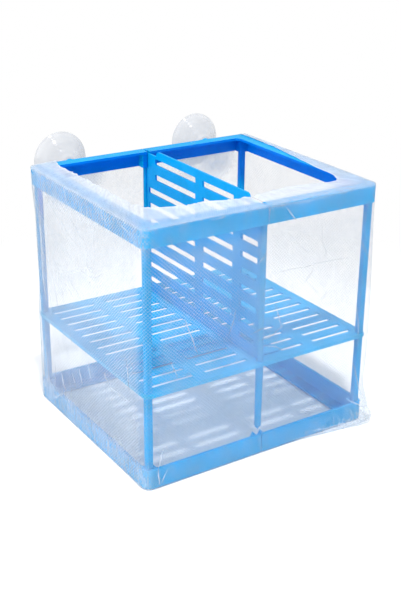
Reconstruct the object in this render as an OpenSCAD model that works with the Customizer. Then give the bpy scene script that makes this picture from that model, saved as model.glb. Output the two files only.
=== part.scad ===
// Fish breeding box: a clip-together plastic frame in a fine net bag,
// with a slotted shelf, a lift-out slotted divider and two suction cups.
// Millimetres. X runs along the box, +Y points to the tank glass, Z is up.
// The origin is the centre of the footprint, on the underside of the net.

/* [Frame] */
// Outside length of the frame, left to right
frame_l = 160; // [150:1:200]
// Outside depth of the frame, front to back
frame_d = 140; // [134:1:170]
// Height from the underside of the bottom frame to the top of the top frame
frame_h = 156; // [145:1:190]
// Wall thickness of both frames
wall_t = 2; // [1.8:0.1:2.4]
// Outside corner radius of both frames, seen from above
corner_r = 5; // [4:0.25:5.5]
// Height of the top frame wall
top_rail_h = 10.5; // [10:0.5:13]
// Height of the bottom frame wall
bottom_rail_h = 12; // [10:0.5:15]
// Thickness of the flat lip on each frame
flange_t = 1.6; // [1.2:0.1:1.8]
// Width of the lip on the left and right sides
side_flange_w = 10; // [9:0.5:12]
// Width of the lip on the front and back
end_flange_w = 8; // [7.5:0.25:9]
// Corner radius of the opening inside the lip
opening_r = 4; // [2:0.5:6]
// Gap between the left and right frame halves
seam_gap = 0.6; // [0.4:0.1:1]

/* [Posts] */
// Side of the square corner posts
post_w = 4; // [3.5:0.1:4.2]
// Rounding of the post edges
post_edge_r = 0.8; // [0.5:0.1:1]
// Gap around a post in its corner socket
post_gap = 0.1; // [0.05:0.05:0.2]
// Wall of the corner sockets
socket_wall = 1.7; // [1.6:0.1:2.6]
// How far the corner sockets reach past the frame wall
socket_extra = 0; // [0:0.5:3]
// Diameter of the pin that joins an upper post to a lower post
pin_d = 2.2; // [1.8:0.1:2.4]
// Length of that pin below the shelf
pin_l = 6; // [4:0.5:8]
// Diameter of the round middle posts
mid_post_d = 4; // [3.8:0.1:4.2]
// Diameter of the middle post just below the shelf
mid_leg_d = 4.6; // [4.4:0.1:5]
// Height of the pointed tip of the middle post above the bottom frame
mid_tip_z = 14; // [13.5:0.5:16]

/* [Shelf] */
// Height of the top of the shelf above the underside of the bottom frame
shelf_z = 60; // [50:1:75]
// Thickness of the slotted plate
shelf_t = 1.4; // [1.2:0.1:2]
// Depth of the rim and the corner lugs
shelf_rim_h = 2.5; // [2.2:0.1:3.5]
// Distance from the outside face of the frame in to the shelf edge
shelf_inset = 0.8; // [0.5:0.1:1.2]
// Width of the slots
slot_w = 4; // [3:0.1:4]
// Distance from one row of shelf slots to the next
shelf_pitch = 10; // [8:0.5:14]
// Rounding of the corners of all slots
slot_corner_r = 0.8; // [0.4:0.1:1.4]
// Band without slots beside the middle of the shelf
shelf_mid_band = 5.5; // [4.5:0.5:7]
// Band between the two columns of slots in a plate
shelf_cross_band = 7.5; // [5:0.5:10]
// Band without slots along the left and right ends
shelf_end_band = 7; // [5:0.5:9]

/* [Divider] */
// Thickness of the divider
divider_t = 1.3; // [1:0.1:1.5]
// Gap on each side of the divider in its grooves
divider_gap = 0.3; // [0.2:0.05:0.35]
// How far the top bar stands above the top frame
bar_rise = 2.5; // [1:0.5:6]
// Distance from the front and back of the frame to the ends of the top bar
bar_inset = 18.5; // [14:0.5:25]
// Rounding of the ends of the top bar
bar_r = 3; // [2:0.5:3.3]
// Distance from the front and back of the frame to the ends of the slots
divider_slot_inset = 8.9; // [8.2:0.1:12]
// The same distance for the row beside the clips
divider_top_slot_inset = 17.3; // [14:0.1:24]
// Solid band along the lower edge of the divider
divider_foot_band = 6.7; // [4:0.1:10]
// Solid band under the top edge of the divider
divider_top_band = 3; // [2:0.1:5]
// Distance from one row of divider slots to the next
divider_pitch = 10.3; // [8:0.1:14]
// Width of the upright bands between the divider slots
band_w = 8; // [5:0.5:10]

/* [Suction cups] */
// Distance from the end of the frame to the axis of a suction cup
cup_inset = 29.4; // [24:0.2:40]
// Rim diameter of a suction cup
cup_d = 36; // [30:0.5:45]
// Distance from the back of the frame to the rim of the cups
cup_reach = 17; // [15:0.5:22]
// Outer diameter of the round sockets for the cups on the back of the top frame
cup_socket_d = 7.6; // [7.2:0.1:7.8]
// How far these sockets stand out from the back
cup_socket_l = 3.4; // [3:0.1:4.5]
// Diameter of the hole for the neck of a cup in its socket
cup_hole_d = 3.8; // [3.4:0.1:4.2]

/* [Net] */
// Thickness of the net
net_t = 0.5; // [0.3:0.1:0.8]
// Width of the gathered hem on the left side, from the outside of the frame
hem_side_w = 15.5; // [12:0.5:18]
// Width of the hem along the front
hem_front_w = 19; // [12:0.5:22]
// Width of the hem at the back end of the right side
hem_far_w = 3; // [2:0.5:6]
// Length over which the inner edge of the hem cuts each corner
hem_corner = 12; // [8:0.5:16]
// Thickness of the gathered hem
hem_t = 0.8; // [0.5:0.1:1.5]
// Height of the hem band on the outside of the back
hem_back_h = 4; // [3:0.25:8]

/* [Hidden] */
$fn = 64;
// small overlap used when one shape cuts another
cut = 1;
// a seated piece lies this far from its seat
seat_gap = 0.3;
base_z = net_t;
half_l = frame_l / 2;
half_d = frame_d / 2;
top_z = base_z + frame_h;
top_rail_z = top_z - top_rail_h;
lip_z = top_z - flange_t;
inner_r = post_edge_r + post_gap;
post_inset = wall_t + post_gap;
post_x = half_l - post_inset - post_w / 2;
post_y = half_d - post_inset - post_w / 2;
socket_w = post_w + 2 * post_gap + socket_wall;
shelf_top = base_z + shelf_z;
shelf_under = shelf_top - shelf_rim_h;
pin_gap = 0.1;
mid_y = half_d - 4.6;
mid_hole_r = mid_post_d / 2 + 0.15;
slit_w = divider_t + 2 * divider_gap;
clip_half_l = 4;
clip_in = half_d - wall_t - socket_w;
clip_h = (lip_z - top_rail_z - seat_gap) / 2;
ear_h = 4.5;
ear_z = base_z + bottom_rail_h;
ear_t = 3;
ear_out = 5;
ear_in = 0.6;
ear_tip = 2.7;
lug_w = 7.5;
rim_w = 2;
shelf_half_l = half_l - shelf_inset;
shelf_half_d = half_d - shelf_inset;
shelf_mid_gap = 0.3;
slot_l = (half_l - shelf_end_band - shelf_mid_band - shelf_cross_band) / 2;
shelf_rows = floor((half_d - lug_w - slot_w / 2) / shelf_pitch);
divider_z = shelf_top + seat_gap;
divider_half = mid_y - 0.9;
divider_neck = clip_in - seat_gap;
divider_wide_top = top_rail_z - 0.5;
shoulder_z = top_z - 1;
bar_half = half_d - bar_inset;
divider_top = top_z + bar_rise;
divider_slot_z = divider_z + divider_foot_band;
divider_slot_half = half_d - divider_slot_inset;
divider_top_slot_half = half_d - divider_top_slot_inset;
divider_rows = floor((divider_top - divider_top_band - slot_w - divider_slot_z) / divider_pitch);
band_1_y = -0.2865 * frame_d;
band_2_y = 1;
cup_x = half_l - cup_inset;
cup_neck_r = cup_hole_d / 2 - 0.06;
cup_socket_r = cup_socket_d / 2;
cup_pocket_r = cup_socket_r - 1.1;
cup_head_r = cup_pocket_r - seat_gap;
cup_pocket_in = wall_t / 2;
cup_pocket_out = cup_socket_l - 2;
cup_z = top_z - cup_socket_r - 0.3;
cup_boss_r = 5.2;
cup_rim_r = cup_d / 2;
net_back_top = cup_z - cup_socket_r - 0.6;
net_r = corner_r + net_t;

frame_blue = [0.10, 0.55, 0.93];
divider_blue = [0.05, 0.55, 1.00];
clear_plastic = [0.90, 0.92, 0.93];
net_white = [0.93, 0.95, 0.96];

// ---- shared shapes ----

// a flat rectangle with rounded corners, centred
module rounded_rect(l, d, r) {
  square([l - 2 * r, d], center = true);
  square([l, d - 2 * r], center = true);
  for (sx = [-1, 1])
    for (sy = [-1, 1])
      translate([sx * (l / 2 - r), sy * (d / 2 - r)])
        circle(r = r);
}

// a slab of that shape between two heights
module rounded_slab(l, d, r, z0, z1) {
  translate([0, 0, z0])
    linear_extrude(height = z1 - z0)
      rounded_rect(l, d, r);
}

// a box given by its low and high corners
module box(low, high) {
  translate(low)
    cube([high[0] - low[0], high[1] - low[1], high[2] - low[2]]);
}

// a slot with rounded corners, w wide, along the first axis from a to b
module slot_2d(a, b, w) {
  translate([(a + b) / 2, 0])
    rounded_rect(b - a, w, slot_corner_r);
}

// everything to the left of the seam
module left_side() {
  box([-frame_l, -frame_d, -cut], [-seam_gap / 2, frame_d, frame_h * 2]);
}

// ---- top frame ----

// one open clip that holds the top of a middle post; layer 1 is the upper one
module post_clip(sy, layer) {
  z0 = layer == 1 ? lip_z - clip_h : top_rail_z;
  y0 = sy > 0 ? clip_in : -half_d + wall_t / 2;
  y1 = sy > 0 ? half_d - wall_t / 2 : -clip_in;
  difference() {
    box([-clip_half_l, y0, z0], [clip_half_l, y1, z0 + clip_h]);
    translate([0, sy * mid_y, z0 - cut])
      cylinder(r = mid_hole_r, h = clip_h + 2 * cut);
    translate([-slit_w / 2, sy > 0 ? 0 : -mid_y, z0 - cut])
      cube([slit_w, mid_y, clip_h + 2 * cut]);
    // the half that belongs to the other frame half stands clear of its wall
    box([seam_gap / 2 - 0.3, sy > 0 ? half_d - wall_t - 0.2 : -half_d, z0 - cut],
        [clip_half_l + cut, sy > 0 ? half_d : -half_d + wall_t + 0.2, z0 + clip_h + cut]);
    box([seam_gap / 2 - 0.3, -frame_d, lip_z - 0.2], [clip_half_l + cut, frame_d, lip_z + cut]);
  }
}

// the body of a round socket on the back rail; y = 0 is the back face of the frame
module cup_socket() {
  translate([-cup_x, half_d - cut, cup_z])
    rotate([-90, 0, 0])
      cylinder(r = cup_socket_r, h = cup_socket_l + cut);
}

// its pocket for the head of a cup, wide inside and narrow at the mouth
module cup_socket_pocket() {
  translate([-cup_x, half_d, cup_z])
    rotate([-90, 0, 0])
      rotate_extrude()
        polygon([[0, -cup_pocket_in], [cup_pocket_r, -cup_pocket_in], [cup_pocket_r, cup_pocket_out],
                 [cup_hole_d / 2, cup_pocket_out + 0.5], [cup_hole_d / 2, cup_socket_l - 0.4],
                 [cup_hole_d / 2 + 0.4, cup_socket_l + cut], [0, cup_socket_l + cut]]);
}

// the left half of the top frame
module top_half(front_layer) {
  difference() {
    union() {
      intersection() {
        difference() {
          union() {
            difference() {
              rounded_slab(frame_l, frame_d, corner_r, top_rail_z, top_z);
              rounded_slab(frame_l - 2 * wall_t, frame_d - 2 * wall_t, inner_r, top_rail_z - cut, lip_z);
            }
            for (sy = [-1, 1])
              box([-half_l + wall_t, sy > 0 ? half_d - wall_t - socket_w : -half_d + wall_t, top_rail_z - socket_extra],
                  [-half_l + wall_t + socket_w, sy > 0 ? half_d - wall_t : -half_d + wall_t + socket_w, lip_z + cut / 2]);
          }
          rounded_slab(frame_l - 2 * side_flange_w, frame_d - 2 * end_flange_w, opening_r, lip_z, top_z + cut);
          for (sy = [-1, 1])
            translate([-post_x, sy * post_y, top_rail_z - 2 * cut - socket_extra])
              linear_extrude(height = lip_z - top_rail_z + 2 * cut + socket_extra)
                rounded_rect(post_w + 2 * post_gap, post_w + 2 * post_gap, inner_r);
          // the slit that lets the edge of the divider through the lip
          box([-slit_w / 2, -mid_y, lip_z - cut], [slit_w / 2, mid_y, top_z + cut]);
        }
        left_side();
      }
      post_clip(-1, front_layer);
      post_clip(1, 1 - front_layer);
      cup_socket();
    }
    cup_socket_pocket();
  }
}

module top_frame_left() {
  color(frame_blue) top_half(1);
}

module top_frame_right() {
  color(frame_blue) mirror([1, 0, 0]) top_half(0);
}

// ---- bottom frame ----

// a block on the seam with one side of the cradle for the tip of a middle post
module cradle(sy) {
  y0 = sy > 0 ? mid_y - ear_t / 2 : -half_d + wall_t / 2;
  y1 = sy > 0 ? half_d - wall_t / 2 : -mid_y + ear_t / 2;
  ear_base = ear_z - ear_h;
  box([-ear_out, y0, base_z + flange_t / 2], [-seam_gap / 2, y1, ear_base]);
  translate([0, sy * mid_y + ear_t / 2, 0])
    rotate([90, 0, 0])
      linear_extrude(height = ear_t)
        polygon([[-ear_out, ear_base - cut], [-ear_in, ear_base - cut], [-ear_in, ear_base],
                 [-ear_tip, ear_z], [-ear_out, ear_base]]);
}

// the left half of the bottom frame
module bottom_half() {
  rail_top = base_z + bottom_rail_h;
  lip_top = base_z + flange_t;
  difference() {
    union() {
      intersection() {
        difference() {
          union() {
            difference() {
              rounded_slab(frame_l, frame_d, corner_r, base_z, rail_top);
              rounded_slab(frame_l - 2 * wall_t, frame_d - 2 * wall_t, inner_r, lip_top, rail_top + cut);
            }
            for (sy = [-1, 1])
              box([-half_l + wall_t, sy > 0 ? half_d - wall_t - socket_w : -half_d + wall_t, lip_top - cut / 2],
                  [-half_l + wall_t + socket_w, sy > 0 ? half_d - wall_t : -half_d + wall_t + socket_w,
                   rail_top + socket_extra / 2]);
          }
          rounded_slab(frame_l - 2 * side_flange_w, frame_d - 2 * end_flange_w, opening_r, base_z - cut, lip_top);
          for (sy = [-1, 1])
            translate([-post_x, sy * post_y, lip_top])
              linear_extrude(height = bottom_rail_h + 2 * cut)
                rounded_rect(post_w + 2 * post_gap, post_w + 2 * post_gap, inner_r);
        }
        left_side();
      }
      for (sy = [-1, 1])
        cradle(sy);
    }
  }
}

// a tongue that laps over the lip of the other half and ties the two together
module seam_tongue(sy) {
  lip_top = base_z + flange_t;
  y0 = sy > 0 ? half_d - end_flange_w + 0.3 : -mid_y + ear_t / 2 + 0.2;
  y1 = sy > 0 ? mid_y - ear_t / 2 - 0.2 : -half_d + end_flange_w - 0.3;
  box([-ear_out, y0, lip_top - flange_t / 2], [-seam_gap / 2, y1, lip_top + 1.2]);
  box([-seam_gap, y0, lip_top + 0.1], [ear_out, y1, lip_top + 1.2]);
}

module bottom_frame_left() {
  color(frame_blue) {
    bottom_half();
    seam_tongue(-1);
  }
}

module bottom_frame_right() {
  color(frame_blue) mirror([1, 0, 0]) {
    bottom_half();
    seam_tongue(1);
  }
}

// ---- posts ----

module upper_post(sx, sy) {
  translate([sx * post_x, sy * post_y, 0]) {
    translate([0, 0, shelf_top])
      linear_extrude(height = lip_z - seat_gap - shelf_top)
        rounded_rect(post_w, post_w, post_edge_r);
    translate([0, 0, shelf_under - pin_l])
      cylinder(d = pin_d, h = pin_l + shelf_rim_h + cut);
  }
}

module lower_post(sx, sy) {
  foot = base_z + flange_t + seat_gap;
  translate([sx * post_x, sy * post_y, 0])
    difference() {
      translate([0, 0, foot])
        linear_extrude(height = shelf_under - foot)
          rounded_rect(post_w, post_w, post_edge_r);
      translate([0, 0, shelf_under - pin_l - seat_gap])
        cylinder(d = pin_d + 2 * pin_gap, h = pin_l + seat_gap + cut);
    }
}

// a round post with a groove for the divider, a shoulder under the shelf and a pointed tip
module middle_post(sy) {
  tip = base_z + mid_tip_z;
  translate([0, sy * mid_y, 0]) {
    difference() {
      translate([0, 0, shelf_under])
        cylinder(d = mid_post_d, h = lip_z - seat_gap - shelf_under);
      translate([-slit_w / 2, sy > 0 ? -mid_post_d : 0.5, shelf_top])
        cube([slit_w, mid_post_d - 0.5, frame_h]);
    }
    translate([0, 0, tip + 2.5])
      cylinder(d1 = mid_post_d, d2 = mid_leg_d, h = shelf_under - seat_gap - tip - 2.5);
    translate([0, 0, shelf_under - seat_gap])
      cylinder(d = mid_post_d, h = seat_gap);
    translate([0, 0, tip])
      cylinder(d1 = 0.6, d2 = mid_post_d, h = 2.5);
  }
}

module upper_post_front_left() {
  color(frame_blue) upper_post(-1, -1);
}

module upper_post_front_right() {
  color(frame_blue) upper_post(1, -1);
}

module upper_post_back_left() {
  color(frame_blue) upper_post(-1, 1);
}

module upper_post_back_right() {
  color(frame_blue) upper_post(1, 1);
}

module lower_post_front_left() {
  color(frame_blue) lower_post(-1, -1);
}

module lower_post_front_right() {
  color(frame_blue) lower_post(1, -1);
}

module lower_post_back_left() {
  color(frame_blue) lower_post(-1, 1);
}

module lower_post_back_right() {
  color(frame_blue) lower_post(1, 1);
}

module middle_post_front() {
  color(frame_blue) middle_post(-1);
}

module middle_post_back() {
  color(frame_blue) middle_post(1);
}

// ---- shelf ----

// the left plate, with its rim below and a half-round notch at each middle post
module shelf_plate() {
  inner_x = -shelf_mid_gap / 2;
  plate_l = shelf_half_l + inner_x;
  difference() {
    union() {
      intersection() {
        union() {
          difference() {
            rounded_slab(2 * shelf_half_l, 2 * shelf_half_d, corner_r - shelf_inset, shelf_under, shelf_top);
            box([-shelf_half_l + rim_w, -shelf_half_d + rim_w, shelf_under - cut],
                [inner_x - rim_w, shelf_half_d - rim_w, shelf_top - shelf_t]);
          }
          for (sy = [-1, 1])
            box([-shelf_half_l + rim_w / 2, sy > 0 ? shelf_half_d - lug_w : -shelf_half_d + rim_w / 2, shelf_under],
                [-shelf_half_l + lug_w, sy > 0 ? shelf_half_d - rim_w / 2 : -shelf_half_d + lug_w, shelf_top]);
          for (sy = [-1, 1])
            box([inner_x - lug_w, sy > 0 ? shelf_half_d - lug_w : -shelf_half_d + rim_w / 2, shelf_under],
                [inner_x, sy > 0 ? shelf_half_d - rim_w / 2 : -shelf_half_d + lug_w, shelf_top]);
        }
        box([-frame_l, -frame_d, 0], [inner_x, frame_d, frame_h]);
      }
    }
    for (sy = [-1, 1]) {
      translate([-post_x, sy * post_y, shelf_under - cut])
        cylinder(d = pin_d + 2 * pin_gap, h = shelf_rim_h + 2 * cut);
      translate([0, sy * mid_y, shelf_under - cut])
        cylinder(r = mid_hole_r, h = shelf_rim_h + 2 * cut);
    }
    translate([0, 0, shelf_under - cut])
      linear_extrude(height = shelf_rim_h + 2 * cut)
        for (row = [-shelf_rows:shelf_rows])
          translate([0, row * shelf_pitch]) {
            slot_2d(-shelf_mid_band - slot_l, -shelf_mid_band, slot_w);
            slot_2d(shelf_end_band - half_l, shelf_end_band - half_l + slot_l, slot_w);
          }
  }
}

module shelf_plate_left() {
  color(frame_blue) shelf_plate();
}

module shelf_plate_right() {
  color(frame_blue) mirror([1, 0, 0]) shelf_plate();
}

// ---- divider ----

// the divider seen from the side: first axis is Y, second axis is Z
module divider_2d() {
  difference() {
    union() {
      translate([-divider_half, divider_z])
        square([2 * divider_half, divider_wide_top - divider_z]);
      translate([-divider_neck, divider_wide_top - cut])
        square([2 * divider_neck, shoulder_z - divider_wide_top + cut]);
      translate([-bar_half, shoulder_z - cut])
        square([2 * bar_half, divider_top - bar_r - shoulder_z + cut]);
      translate([-bar_half + bar_r, divider_top - bar_r - cut])
        square([2 * (bar_half - bar_r), bar_r + cut]);
      for (sy = [-1, 1])
        translate([sy * (bar_half - bar_r), divider_top - bar_r])
          circle(r = bar_r);
    }
    for (row = [0:divider_rows]) {
      reach = divider_slot_z + row * divider_pitch + slot_w > divider_wide_top - 2
        ? divider_top_slot_half : divider_slot_half;
      translate([0, divider_slot_z + row * divider_pitch + slot_w / 2]) {
        slot_2d(-reach, band_1_y - band_w / 2, slot_w);
        slot_2d(band_1_y + band_w / 2, band_2_y - band_w / 2, slot_w);
        slot_2d(band_2_y + band_w / 2, reach, slot_w);
      }
    }
  }
}

module divider() {
  color(divider_blue)
    translate([-divider_t / 2, 0, 0])
      rotate([90, 0, 90])
        linear_extrude(height = divider_t)
          divider_2d();
}

// ---- suction cups ----

// head, neck, boss and cup turned about the Y axis; y = 0 is the back face of the frame
module suction_cup() {
  rim_y = cup_reach;
  head_in = -cup_pocket_in + seat_gap;
  head_out = cup_pocket_out - seat_gap;
  boss_y = cup_socket_l + seat_gap;
  rotate([-90, 0, 0])
    rotate_extrude()
      polygon([
        [0, head_in], [cup_head_r - 0.7, head_in], [cup_head_r, head_in + 0.7],
        [cup_head_r, head_out], [cup_neck_r, head_out], [cup_neck_r, boss_y],
        [cup_boss_r, boss_y], [cup_boss_r + 0.4, boss_y + 0.8], [cup_boss_r + 0.9, boss_y + 1.8],
        [cup_rim_r * 0.44, rim_y * 0.4], [cup_rim_r * 0.6, rim_y * 0.55], [cup_rim_r * 0.79, rim_y * 0.75],
        [cup_rim_r * 0.94, rim_y * 0.91], [cup_rim_r, rim_y - 0.6], [cup_rim_r, rim_y],
        [cup_rim_r - 1.4, rim_y], [cup_rim_r * 0.76, rim_y - 1.6], [cup_rim_r * 0.5, rim_y - 3],
        [cup_rim_r * 0.22, rim_y - 3.8], [0, rim_y - 4]]);
}

module suction_cup_left() {
  color(clear_plastic) translate([-cup_x, half_d, cup_z]) suction_cup();
}

module suction_cup_right() {
  color(clear_plastic) translate([cup_x, half_d, cup_z]) suction_cup();
}

// ---- net bag ----

// the upright net all round, as one rounded skin
module net_skin(z1) {
  difference() {
    rounded_slab(frame_l + 2 * net_t, frame_d + 2 * net_t, net_r, base_z, z1);
    rounded_slab(frame_l, frame_d, corner_r, base_z - cut, z1 + cut);
  }
}

module net_front_panel() {
  color(net_white)
    box([-half_l + corner_r, -half_d - net_t, base_z], [half_l - corner_r, -half_d, top_z]);
}

// the back panel ends in a folded hem below the necks of the suction cups
module net_back_panel() {
  color(net_white) {
    box([-half_l + corner_r, half_d, base_z], [half_l - corner_r, half_d + net_t, net_back_top]);
    box([-half_l + corner_r, half_d, net_back_top - hem_back_h], [half_l - corner_r, half_d + hem_t, net_back_top]);
  }
}

module net_left_panel() {
  color(net_white)
    intersection() {
      net_skin(top_z);
      box([-frame_l, -frame_d, 0], [-half_l + corner_r, frame_d, frame_h * 2]);
    }
}

module net_right_panel() {
  color(net_white)
    intersection() {
      net_skin(top_z);
      box([half_l - corner_r, -frame_d, 0], [frame_l, frame_d, frame_h * 2]);
    }
}

module net_bottom_panel() {
  color(net_white)
    rounded_slab(frame_l + 2 * net_t, frame_d + 2 * net_t, net_r, 0, base_z);
}

// the opening inside the hem: the elastic edge cuts the front corners and runs out to the back ones
module hem_opening_2d() {
  left_x = -half_l + hem_side_w;
  right_x = half_l - hem_side_w;
  front_y = -half_d + hem_front_w;
  polygon([
    [left_x + hem_corner / 4, frame_d], [left_x + hem_corner / 4, half_d - end_flange_w / 2],
    [left_x, half_d - hem_corner], [left_x, front_y + hem_corner],
    [left_x + hem_corner / 4, front_y + hem_corner / 4], [left_x + hem_corner, front_y],
    [right_x - hem_corner / 2, front_y], [right_x, front_y + hem_corner / 2],
    [half_l - hem_far_w, half_d - hem_corner], [half_l - hem_far_w, frame_d]]);
}

// the gathered hem on the left, front and right of the top frame, parted at the divider
module net_hem() {
  color(net_white)
    difference() {
      rounded_slab(frame_l + 2 * net_t, frame_d + 2 * net_t, net_r, top_z, top_z + hem_t);
      translate([0, 0, top_z - cut])
        linear_extrude(height = hem_t + 2 * cut)
          hem_opening_2d();
      box([-slit_w / 2, -mid_y - seat_gap, top_z - cut], [slit_w / 2, 0, top_z + hem_t + cut]);
    }
}

top_frame_left();
top_frame_right();
bottom_frame_left();
bottom_frame_right();
upper_post_front_left();
upper_post_front_right();
upper_post_back_left();
upper_post_back_right();
lower_post_front_left();
lower_post_front_right();
lower_post_back_left();
lower_post_back_right();
middle_post_front();
middle_post_back();
shelf_plate_left();
shelf_plate_right();
divider();
suction_cup_left();
suction_cup_right();
net_front_panel();
net_back_panel();
net_left_panel();
net_right_panel();
net_bottom_panel();
net_hem();
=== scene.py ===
"""Dresses the fish breeding box: clear blue moulded frame, net bag, gathered hem and soft cups."""
import math

import bmesh
import bpy
from mathutils import Matrix, Vector, noise


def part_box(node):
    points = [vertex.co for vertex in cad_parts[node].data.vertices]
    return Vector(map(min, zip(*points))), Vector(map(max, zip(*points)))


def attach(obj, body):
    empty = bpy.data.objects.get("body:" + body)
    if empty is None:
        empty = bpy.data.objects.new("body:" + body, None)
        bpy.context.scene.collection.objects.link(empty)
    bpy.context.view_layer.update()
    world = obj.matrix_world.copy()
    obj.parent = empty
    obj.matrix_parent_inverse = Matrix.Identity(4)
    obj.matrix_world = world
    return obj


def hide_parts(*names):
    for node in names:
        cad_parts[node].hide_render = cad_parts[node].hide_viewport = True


bl_info = {
    "name": "Fish breeding box",
    "version": (1, 0, 0),
    "blender": (4, 5, 0),
    "location": "3D View > Sidebar > Breeding box",
    "description": "Finishes for the clip-together frame, net bag, hem and suction cups",
    "category": "Object",
}

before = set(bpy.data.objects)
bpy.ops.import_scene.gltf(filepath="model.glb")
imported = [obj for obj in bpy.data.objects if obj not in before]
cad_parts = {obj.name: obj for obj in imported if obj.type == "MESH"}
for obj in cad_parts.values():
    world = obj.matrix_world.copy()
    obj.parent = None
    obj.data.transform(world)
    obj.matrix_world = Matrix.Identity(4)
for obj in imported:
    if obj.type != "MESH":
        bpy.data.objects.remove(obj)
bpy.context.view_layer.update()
MM = 0.001

# places of the CAD solids that the soft pieces lie on, in millimetres; the bag's cloth lies in the middle
# of its panels
HALF_NET = 0.25
NET_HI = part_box("net_bottom_panel")[1]
WALL_X = NET_HI.x / MM - HALF_NET
WALL_Y = NET_HI.y / MM - HALF_NET
RAIL_FOOT, RAIL_TOP = (corner.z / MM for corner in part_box("top_frame_left"))
BACK_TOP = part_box("net_back_panel")[1].z / MM
POST_LO, POST_HI = (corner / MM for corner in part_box("upper_post_back_left"))
CUP_X = sum(corner.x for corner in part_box("suction_cup_right")) / 2 / MM

# the bag: the radius of its corners, its floor's height, its upper border and its way round
WALL_R = 5.3
FLOOR_Z = HALF_NET
NET_TOP = RAIL_TOP + 0.3
HALF_X, HALF_Y = WALL_X - WALL_R, WALL_Y - WALL_R
ARC = math.pi / 2 * WALL_R
RING_LENGTH = 4 * (HALF_X + HALF_Y + ARC)
LEFT_BACK, LEFT_FRONT, RIGHT_FRONT = (
    Vector(corner) for corner in ((-WALL_X, WALL_Y), (-WALL_X, -WALL_Y), (WALL_X, -WALL_Y)))

# the hem: the share of its width outside the rail, half the width of the cleft that the divider slides
# out through, and where that cleft starts
CREST = 0.16
CLEFT = 0.95
CLEFT_Y = -65.6


# ---- small helpers

def linear(hex_colour):
    """sRGB hex to the linear colour that a shader socket takes."""
    values = [int(hex_colour[i:i + 2], 16) / 255 for i in (1, 3, 5)]
    return tuple(v / 12.92 if v <= 0.04045 else ((v + 0.055) / 1.055) ** 2.4 for v in values) + (1.0,)


def add(tree, kind, **values):
    """Adds one node; a shader node's kind is given without its prefix. Values in small letters are its
    properties. The others are its inputs, by name or as i and a number: a node or one of its outputs is
    linked, and anything else becomes the input's own value."""
    node = tree.nodes.new(kind if kind.startswith(("GeometryNode", "NodeGroup")) else "ShaderNode" + kind)
    for name, value in values.items():
        numbered = name[0] == "i" and name[1:].isdigit()
        if name.islower() and not numbered:
            setattr(node, name, value)
            continue
        socket = node.inputs[int(name[1:]) if numbered else name.replace("_", " ")]
        if isinstance(value, bpy.types.Node):
            value = value.outputs[0]
        if isinstance(value, bpy.types.NodeSocket):
            tree.links.new(value, socket)
        else:
            socket.default_value = value
    return node


def new_material(name):
    """A material and its empty tree."""
    material = bpy.data.materials.new(name)
    material.use_nodes = True
    material.node_tree.nodes.clear()
    return material, material.node_tree


def mesh_object(name, points, faces, material, uvs=None, edges=(), cover=None):
    """A mesh at the origin from points in millimetres; cover is the cloth's opacity at each point."""
    mesh = bpy.data.meshes.new(name)
    mesh.from_pydata([Vector(p) * MM for p in points], list(edges), faces)
    if faces:
        mesh.shade_smooth()
    if uvs:
        layer = mesh.uv_layers.new(name="UVMap")
        for loop in mesh.loops:
            layer.data[loop.index].uv = uvs[loop.vertex_index]
    if cover:
        mesh.attributes.new("cover", "FLOAT", "POINT").data.foreach_set("value", cover)
    made = bpy.data.objects.new(name, mesh)
    bpy.context.scene.collection.objects.link(made)
    if material:
        mesh.materials.append(material)
    return made


def outward(made):
    """Merges a mesh's double points and turns its faces outwards."""
    shape = bmesh.new()
    shape.from_mesh(made.data)
    bmesh.ops.remove_doubles(shape, verts=shape.verts, dist=1e-6)
    bmesh.ops.recalc_face_normals(shape, faces=shape.faces)
    shape.to_mesh(made.data)
    shape.free()


def grid_faces(lines, each, closed=False, first=0):
    """Faces between neighbouring lines of points, with as many points in each."""
    faces = []
    for i in range(lines if closed else lines - 1):
        a, b = first + i * each, first + (i + 1) % lines * each
        faces += [(a + j, b + j, b + j + 1, a + j + 1) for j in range(each - 1)]
    return faces


def smooth_step(low, high, value):
    """0 up to low, 1 from high on, and a soft rise between them; low may be the larger one."""
    t = min(1.0, max(0.0, (value - low) / (high - low)))
    return t * t * (3 - 2 * t)


def ripple(x, y, z):
    """Smooth noise from -1 to 1, the same each run."""
    return noise.noise(Vector((x, y, z)))


def table_value(table, x):
    """The value at x between the entries of a table of (x, value)."""
    for (x0, v0), (x1, v1) in zip(table, table[1:]):
        if x <= x1:
            return v0 + (v1 - v0) * max(0.0, min(1.0, (x - x0) / (x1 - x0)))
    return table[-1][1]


def along(points, t):
    """The point at the share t of a polyline's length."""
    lengths = [0.0]
    for a, b in zip(points, points[1:]):
        lengths.append(lengths[-1] + (Vector(b) - Vector(a)).length)
    at = t * lengths[-1]
    i = next((i for i in range(len(points) - 2) if at <= lengths[i + 1]), len(points) - 2)
    span = lengths[i + 1] - lengths[i]
    share = min(1.0, (at - lengths[i]) / span) if span else 0.0
    return Vector(points[i]).lerp(Vector(points[i + 1]), share)


# ---- the shape of the net bag

# the ring's runs in order, from the middle of the back to the left: length, start and direction, or for
# a corner its centre, no direction, and the angle at which it starts
RING_RUNS = [
    (HALF_X, (0, WALL_Y), (-1, 0), None), (ARC, (-HALF_X, HALF_Y), None, 90),
    (2 * HALF_Y, (-WALL_X, HALF_Y), (0, -1), None), (ARC, (-HALF_X, -HALF_Y), None, 180),
    (2 * HALF_X, (-HALF_X, -WALL_Y), (1, 0), None), (ARC, (HALF_X, -HALF_Y), None, 270),
    (2 * HALF_Y, (WALL_X, -HALF_Y), (0, 1), None), (ARC, (HALF_X, HALF_Y), None, 0),
    (HALF_X, (HALF_X, WALL_Y), (-1, 0), None)]


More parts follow.
